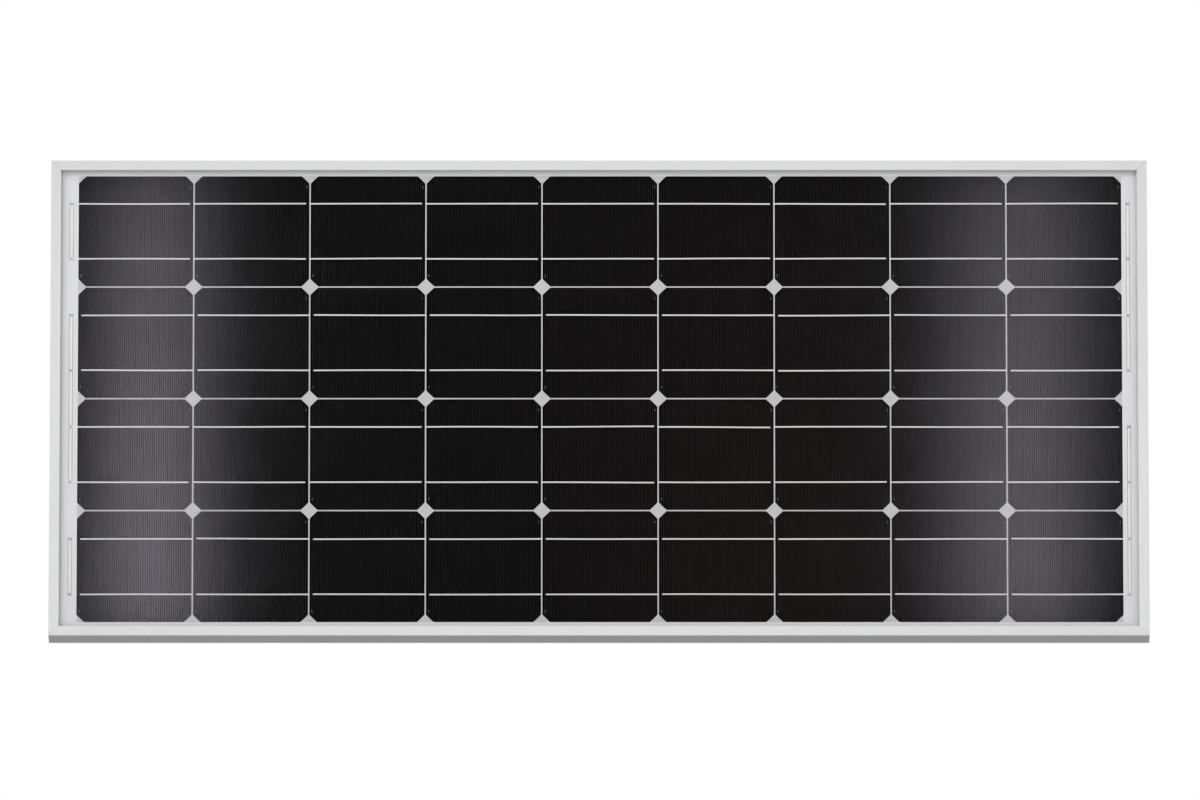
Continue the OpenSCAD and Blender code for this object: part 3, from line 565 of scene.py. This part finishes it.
def glow(name, reach_left, reach_right, z_range, strengths, tint):
    """Emission that fades sideways from the line x = 0 and changes from the bottom of a card to its top."""
    look = Look(name)
    parts = look.add("ShaderNodeSeparateXYZ", {0: look.place})

    def ease(value, low, high, to_low, to_high):
        return look.add(
            "ShaderNodeMapRange",
            {"Value": value, "From Min": low, "From Max": high, "To Min": to_low, "To Max": to_high},
            interpolation_type="SMOOTHSTEP",
        ).outputs["Result"]

    left = ease(parts.outputs["X"], -reach_left, 0.0, 0.0, 1.0)
    right = ease(parts.outputs["X"], 0.0, reach_right, 1.0, 0.0)
    upward = look.remap(parts.outputs["Z"], *z_range, *strengths)
    level = look.math("MULTIPLY", look.math("MULTIPLY", left, right), upward)
    shine = look.add("ShaderNodeEmission", {"Color": grey(1.0, tint), "Strength": level})
    clear = look.add("ShaderNodeBsdfTransparent")
    both = look.add("ShaderNodeAddShader", {0: shine.outputs[0], 1: clear.outputs[0]})
    return look.replace_surface(both)


def reflection_card(name, mirrors, x, reach, strengths, tint, distance=CARD_DISTANCE):
    """A glowing card in front of the panel that only the mirrors show.

    Its mirror image stands at x over the panel's whole height. It is brightest there and fades over its
    reach to the left and to the right. Its strengths are those at the bottom and at the top.
    """
    reach_left, reach_right = reach
    rise = distance * math.tan(-CAMERA_ELEVATION)
    low = cad_low.z + rise
    high = cad_high.z + rise
    corners = [(-reach_left, 0, low), (-reach_left, 0, high), (reach_right, 0, high), (reach_right, 0, low)]
    material = glow(name, reach_left, reach_right, (low, high), strengths, tint)
    card = mesh_piece(name, corners, [(0, 1, 2, 3)], material)
    card.location = (x, cad_low.y - distance, 0)
    card.visible_camera = False
    card.visible_diffuse = False
    card.visible_shadow = False
    card.visible_transmission = False
    card.light_linking.receiver_collection = mirrors


def add_reflections():
    """Two soft upright highlights and a faint haze, mirrored by the cells and their print."""
    nodes = [frame["nodes"][f"cell_string_{row}"] for row in range(1, ROWS + 1)]
    grids = [bpy.data.objects[f"finger_grid_{row}"] for row in range(1, ROWS + 1)]
    marks = [bpy.data.objects["alignment_marks"]]
    mirrors = receivers("cells_and_print", nodes + grids + marks)
    reflection_card(
        "reflection_left", mirrors, x=-0.515, reach=(0.09, 0.118), strengths=(6.2, 3.1), tint=DUSK
    )
    reflection_card(
        "reflection_right", mirrors, x=0.485, reach=(0.145, 0.115), strengths=(4.2, 2.6), tint=DUSK
    )
    reflection_card(
        "reflection_haze", mirrors, x=0.25, reach=(0.4, 0.3), strengths=(0.15, 0.02), tint=EMBER,
        distance=HAZE_DISTANCE,
    )


def add_lamp(name, place, target, size, power):
    light = bpy.data.lights.new(name, "AREA")
    light.shape = "RECTANGLE"
    light.size, light.size_y = size
    light.energy = power
    lamp = bpy.data.objects.new(name, light)
    lamp.location = place
    lamp.rotation_euler = (Vector(target) - Vector(place)).to_track_quat("-Z", "Y").to_euler()
    lamp.visible_glossy = False
    lamp.visible_camera = False
    bpy.context.scene.collection.objects.link(lamp)
    return lamp


def add_lights():
    middle = (cad_low + cad_high) / 2
    add_lamp("key", place=(-9, -13, 13), target=middle, size=(11, 11), power=1250)
    rear = add_lamp("rear", place=(8, 14, 11), target=middle, size=(11, 11), power=500)
    rear.visible_glossy = True  # gives the black plastics at the back their highlights
    low_fill = add_lamp(
        "low_fill", place=(0, -0.8, -0.12), target=(0, 0, cad_low.z), size=(1.6, 0.15), power=2.9
    )
    rails = [frame["nodes"][f"frame_rail_{side}"] for side in ("top", "bottom", "left", "right")]
    low_fill.light_linking.receiver_collection = receivers("low_fill_receivers", rails)


def add_camera():
    camera = bpy.data.cameras.new("camera")
    camera.lens = CAMERA_LENS
    camera.sensor_width = 36
    camera.clip_end = 100
    eye = bpy.data.objects.new("camera", camera)
    target = (cad_low + cad_high) / 2 + Vector((AIM_RIGHT, 0, AIM_UP))
    back = Vector((0, -math.cos(CAMERA_ELEVATION), math.sin(CAMERA_ELEVATION)))
    eye.location = target + back * CAMERA_DISTANCE
    eye.rotation_euler = (-back).to_track_quat("-Z", "Y").to_euler()
    bpy.context.scene.collection.objects.link(eye)
    bpy.context.scene.camera = eye


# ---------- pieces ----------

def dress(node, material, soft_edge=0.0):
    """Gives a CAD node its material and, if asked for, rounds its sharp edges."""
    piece = frame["nodes"][node]
    piece.data.materials.clear()
    piece.data.materials.append(material)
    if soft_edge:
        soften(piece, soft_edge)


def soften(piece, width):
    """Joins the piece's split corners and rounds its sharp edges."""
    weld = piece.modifiers.new("weld", "WELD")
    weld.merge_threshold = 0.001 * MM
    round_off = piece.modifiers.new("round_off", "BEVEL")
    round_off.width = width
    round_off.segments = 2
    round_off.limit_method = "ANGLE"
    round_off.angle_limit = math.radians(40)
    round_off.harden_normals = True


# Corners of each face of a box whose corners are counted along the last axis first
BOX_FACES = ((0, 1, 3, 2), (4, 6, 7, 5), (0, 4, 5, 1), (2, 3, 7, 6), (0, 2, 6, 4), (1, 5, 7, 3))


def box_mesh(points, faces, low, high):
    """Adds a closed box between two corners to lists of points and faces."""
    start = len(points)
    for x in (low[0], high[0]):
        for y in (low[1], high[1]):
            for z in (low[2], high[2]):
                points.append((x, y, z))
    for face in BOX_FACES:
        faces.append(tuple(start + corner for corner in face))


def glass_pane(material):
    """The glass with ground edges and slightly clipped corners."""
    low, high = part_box("front_glass")
    clip = 2 * MM
    arris = 0.6 * MM
    points = []
    for y, inset in ((low.y, arris), (low.y + arris, 0), (high.y - arris, 0), (high.y, arris)):
        x_out, z_out = high.x - inset, high.z - inset
        for x_side, z_side in ((1, 1), (-1, 1), (-1, -1), (1, -1)):
            near_x = (x_side * x_out, y, z_side * (z_out - clip))
            near_z = (x_side * (x_out - clip), y, z_side * z_out)
            points.extend((near_x, near_z) if x_side * z_side > 0 else (near_z, near_x))
    ring = 8
    faces = [tuple(range(ring)), tuple(reversed(range(3 * ring, 4 * ring)))]
    for layer in range(3):
        for corner in range(ring):
            here = layer * ring + corner
            there = layer * ring + (corner + 1) % ring
            faces.append((here, here + ring, there + ring, there))
    pane = mesh_piece("glass_pane", points, faces, material)
    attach(pane, "module")
    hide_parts("front_glass", "front_encapsulant")


def grid_half_height(x):
    """Half the height of a cell's printed grid at x from its middle."""
    reach = cell_size / 2 - GRID_INSET
    return min(reach, math.sqrt((INGOT_RADIUS - GRID_INSET) ** 2 - x * x))


def cell_grid(points, faces, centre_x, centre_z):
    """The printed silver grid of one cell: its fingers and a line along their ends."""
    count = int((cell_size / 2 - GRID_INSET) / FINGER_PITCH)
    half = FINGER_WIDTH / 2
    for finger in range(-count, count + 1):
        x = finger * FINGER_PITCH
        reach = grid_half_height(x)
        box_mesh(
            points, faces,
            (centre_x + x - half, print_front_y, centre_z - reach),
            (centre_x + x + half, print_back_y, centre_z + reach),
        )
    rim_half = 0.1 * MM
    for side in (-1, 1):
        for finger in range(-count, count):
            left = finger * FINGER_PITCH
            right = left + FINGER_PITCH
            slope_line(
                points, faces, rim_half,
                (centre_x + left, centre_z + side * grid_half_height(left)),
                (centre_x + right, centre_z + side * grid_half_height(right)),
            )


def slope_line(points, faces, half, start_at, end_at):
    """A thin printed bar between two points of the cell's face."""
    start = len(points)
    for x, z in (start_at, end_at):
        for y in (print_front_y, print_back_y):
            for side in (-1, 1):
                points.append((x, y, z + side * half))
    for face in BOX_FACES:
        faces.append(tuple(start + corner for corner in face))


def add_grids(material):
    for row in range(1, ROWS + 1):
        low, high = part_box(f"cell_string_{row}")
        points, faces = [], []
        for column in range(COLUMNS):
            cell_grid(points, faces, low.x + cell_size / 2 + column * cell_pitch, (low.z + high.z) / 2)
        grid = mesh_piece(f"finger_grid_{row}", points, faces, material)
        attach(grid, "module")


def add_marks(material):
    """Two short printed dashes near opposite corners of every cell."""
    points, faces = [], []
    half_wide = 0.35 * MM
    half_high = 1.3 * MM
    from_side = 2.8 * MM
    from_end = 12.3 * MM
    for row in range(1, ROWS + 1):
        low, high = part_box(f"cell_string_{row}")
        for column in range(COLUMNS):
            centre_x = low.x + cell_size / 2 + column * cell_pitch
            for side in (-1, 1):
                x = centre_x + side * (cell_size / 2 - from_side)
                z = (low.z + high.z) / 2 + side * (cell_size / 2 - from_end)
                box_mesh(
                    points, faces,
                    (x - half_wide, print_front_y, z - half_high),
                    (x + half_wide, print_back_y, z + half_high),
                )
    marks = mesh_piece("alignment_marks", points, faces, material)
    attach(marks, "module")


def ribbon_path(start_x, gap_x, end_x, x_of, drift):
    """Centre line of one link: behind one cell, through the gap and along the front of the next."""
    front = cell_front_y - RIBBON_THICKNESS / 2
    back = cell_back_y + RIBBON_THICKNESS / 2
    jog = 0.7 * MM
    path = []
    if start_x is not None:
        path.append((start_x, back))
        path.append((gap_x - 4 * jog, back))
        jog_steps = 6
        for step in range(jog_steps + 1):
            share = step / jog_steps
            ease = share * share * (3 - 2 * share)
            path.append((gap_x - jog + 2 * jog * share, back + (front - back) * ease))
        first_x = gap_x + 4 * jog
    else:
        first_x = gap_x
    if end_x is not None:
        front_steps = 20
        for step in range(front_steps + 1):
            path.append((first_x + (end_x - first_x) * step / front_steps, front))
    return [(x_of(x), y, drift(x)) for x, y in path]


def ribbon_mesh(points, faces, path, centre_z):
    """Sweeps the flat section of a ribbon, with soft corners, along a path of (x, y, sideways drift)."""
    half_w = RIBBON_WIDTH / 2
    half_t = RIBBON_THICKNESS / 2
    soft = 0.06 * MM
    section = [
        (half_t, half_w - soft), (half_t - soft, half_w), (soft - half_t, half_w), (-half_t, half_w - soft),
        (-half_t, soft - half_w), (soft - half_t, -half_w), (half_t - soft, -half_w), (half_t, soft - half_w),
    ]
    start = len(points)
    size = len(section)
    for x, y, drift in path:
        for along_y, along_z in section:
            points.append((x, y + along_y, centre_z + drift + along_z))
    for step in range(len(path) - 1):
        for corner in range(size):
            here = start + step * size + corner
            there = start + step * size + (corner + 1) % size
            faces.append((here, there, there + size, here + size))
    faces.append(tuple(start + corner for corner in reversed(range(size))))
    faces.append(tuple(start + (len(path) - 1) * size + corner for corner in range(size)))


def add_ribbons(material):
    """Two lines of tabbing ribbon a row. Odd and even rows run opposite ways, to join in series."""
    bend = random.Random(4)
    for row in range(1, ROWS + 1):
        low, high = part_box(f"cell_string_{row}")
        ribbon_low, ribbon_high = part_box(f"tabbing_ribbons_{row}")
        middle_z = (low.z + high.z) / 2
        offset = (ribbon_high.z - ribbon_low.z - RIBBON_WIDTH) / 2
        forward = row % 2 == 1
        origin = low.x if forward else high.x
        way = 1 if forward else -1
        entry = low.x - ribbon_low.x if forward else ribbon_high.x - high.x
        leave = ribbon_high.x - high.x if forward else low.x - ribbon_low.x
        points, faces = [], []
        for side in (-1, 1):
            for link in range(COLUMNS + 1):
                tilt = bend.uniform(-0.35, 0.35) * MM / cell_pitch
                sway = bend.uniform(-0.22, 0.22) * MM
                phase = bend.uniform(0, math.tau)
                gap_x = link * cell_pitch - cell_gap / 2

                def drift(x):
                    run = x - gap_x
                    wave = math.sin(phase + run / cell_pitch * 4) - math.sin(phase)
                    return tilt * run + sway * wave

                start_x = gap_x - cell_pitch + cell_gap / 2 + RIBBON_STOP if link > 0 else None
                end_x = link * cell_pitch + cell_size - RIBBON_STOP if link < COLUMNS else None
                if link == 0:
                    path = ribbon_path(None, -entry, end_x, lambda x: origin + way * x, drift)
                elif link == COLUMNS:
                    back = cell_back_y + RIBBON_THICKNESS / 2
                    stop_x = (COLUMNS - 1) * cell_pitch + cell_size + leave
                    path = [
                        (origin + way * x, back, drift(x))
                        for x in (start_x, start_x + cell_size / 2, stop_x)
                    ]
                else:
                    path = ribbon_path(start_x, gap_x, end_x, lambda x: origin + way * x, drift)
                ribbon_mesh(points, faces, path, middle_z + side * offset)
        ribbons = mesh_piece(f"ribbons_{row}", points, faces, material)
        make_faces_outward(ribbons)
        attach(ribbons, "module")
        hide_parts(f"tabbing_ribbons_{row}")


def add_solder_joints(material):
    """A flattened drop of solder wherever a line of tabbing ribbon crosses a bus."""
    chance = random.Random(7)
    points, faces = [], []
    drop = 0.32 * MM
    rings = 4
    around = 16
    for side in ("left", "right"):
        bus_low, bus_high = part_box(f"bus_ribbons_{side}")
        middle_x = (bus_low.x + bus_high.x) / 2
        for row in range(1, ROWS + 1):
            low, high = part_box(f"cell_string_{row}")
            ribbon_low, ribbon_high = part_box(f"tabbing_ribbons_{row}")
            offset = (ribbon_high.z - ribbon_low.z - RIBBON_WIDTH) / 2
            for line in (-1, 1):
                middle_z = (low.z + high.z) / 2 + line * offset
                reach_x = chance.uniform(1.9, 2.5) * MM
                reach_z = chance.uniform(1.3, 1.8) * MM
                start = len(points)
                points.append((middle_x, bus_low.y - drop, middle_z))
                for ring in range(1, rings + 1):
                    lean = ring / rings * math.pi / 2
                    for step in range(around):
                        turn = step / around * math.tau
                        wobble = 1 + 0.08 * math.sin(3 * turn + row)
                        points.append((
                            middle_x + reach_x * math.sin(lean) * math.cos(turn) * wobble,
                            bus_low.y - drop * math.cos(lean),
                            middle_z + reach_z * math.sin(lean) * math.sin(turn) * wobble,
                        ))
                for step in range(around):
                    after = (step + 1) % around
                    faces.append((start, start + 1 + step, start + 1 + after))
                    for ring in range(rings - 1):
                        here = start + 1 + ring * around
                        faces.append((here + step, here + around + step, here + around + after, here + after))
                last = start + 1 + (rings - 1) * around
                faces.append(tuple(last + step for step in reversed(range(around))))
    joints = mesh_piece("solder_joints", points, faces, material)
    make_faces_outward(joints)
    for face in joints.data.polygons:
        face.use_smooth = len(face.vertices) < around
    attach(joints, "module")


def make_faces_outward(piece):
    shape = bmesh.new()
    shape.from_mesh(piece.data)
    bmesh.ops.recalc_face_normals(shape, faces=shape.faces)
    shape.to_mesh(piece.data)
    shape.free()


def build_frame():
    along_x = anodised_aluminium("anodised_along_x", (6, 2400, 2400))
    along_z = anodised_aluminium("anodised_along_z", (2400, 2400, 6))
    for side, material in (("top", along_x), ("bottom", along_x), ("left", along_z), ("right", along_z)):
        dress(f"frame_rail_{side}", material, 0.2 * MM)
    dress("corner_keys", sawn_aluminium())
    dress("edge_seal", sealant("edge_seal", 0.34, 0.5))


def build_laminate():
    cell_tints = ((1.3, 0.85, 0.9), (1.2, 0.8, 0.9), (1.4, 0.85, 0.85), (1.25, 0.85, 0.95))
    for row, tint in enumerate(cell_tints, start=1):
        dress(f"cell_string_{row}", silicon(f"silicon_cell_{row}", tint))
    for side in ("left", "right"):
        dress(f"bus_ribbons_{side}", bus_tin(f"bus_ribbons_{side}", 0.9, 0.5))
    dress("lead_out_ribbons", tinned_copper("lead_out_ribbon", 0.7, 0.8))
    dress("lead_out_insulation", insulation_film())
    dress("rear_encapsulant", white_fill())
    dress("backsheet", backsheet_film())
    dress("rating_label", label_film())
    add_solder_joints(solder())
    add_ribbons(tinned_copper("tabbing_ribbon", 0.72, 0.82))
    add_grids(silver_paste("finger_paste", 0.024, 0.034))
    add_marks(silver_paste("mark_paste", 0.3, 0.4))
    glass_pane(solar_glass())


def build_box(plastic, plated):
    dress("box_base", plastic, 0.3 * MM)
    dress("box_lid", plastic, 0.4 * MM)
    dress("box_gasket", rubber("box_gasket", 0.03))
    dress("box_adhesive", sealant("silicone", 0.3, 0.35))
    for pole in ("negative", "middle", "positive"):
        dress(f"terminal_{pole}", plated)
    dress("ribbon_clips", plated_metal("spring_steel", grey(0.45), grey(0.7), 0.2))
    dress("bypass_diodes", moulded_plastic("diode_body", 0.03, 0.2 * MM))


def build_leads(box_plastic, plated):
    copper = plated_metal("copper", (0.7, 0.28, 0.16, 1), (0.95, 0.5, 0.34, 1), 0.22)
    jacket = cable_jacket()
    seal = rubber("seal_rubber", 0.12)
    clamp = moulded_plastic("clamp_plastic", 0.25, 0.3 * MM)
    connector = moulded_plastic("connector_plastic", 0.02, 0.3 * MM)
    nut_edge = 0.25 * MM
    for pole in ("positive", "negative"):
        dress(f"cable_sheath_{pole}", jacket)
        dress(f"conductor_{pole}", copper)
        dress(f"gland_seal_{pole}", seal)
        dress(f"gland_ring_{pole}", clamp)
        dress(f"gland_nut_{pole}", box_plastic, nut_edge)
    for half in ("plug", "socket"):
        dress(f"{half}_housing", connector, nut_edge)
        dress(f"{half}_contact", plated)
        dress(f"{half}_seal", seal)
        dress(f"{half}_ring", clamp)
        dress(f"{half}_nut", connector, nut_edge)
    dress("plug_o_ring", rubber("plug_o_ring", 0.05))
    dress("cable_ties", moulded_plastic("tie_nylon", 0.02, 0.5 * MM), 0.15 * MM)


def build():
    box_plastic = moulded_plastic("box_plastic", 0.022, 0.45 * MM)
    plated = plated_metal("plated_terminal", (0.62, 0.58, 0.5, 1), (0.86, 0.82, 0.74, 1), 0.25)
    build_frame()
    build_laminate()
    build_box(box_plastic, plated)
    build_leads(box_plastic, plated)


bpy.context.scene.view_settings.view_transform = "Standard"
studio_world()
add_floor()
add_lights()
add_camera()
build()
add_reflections()
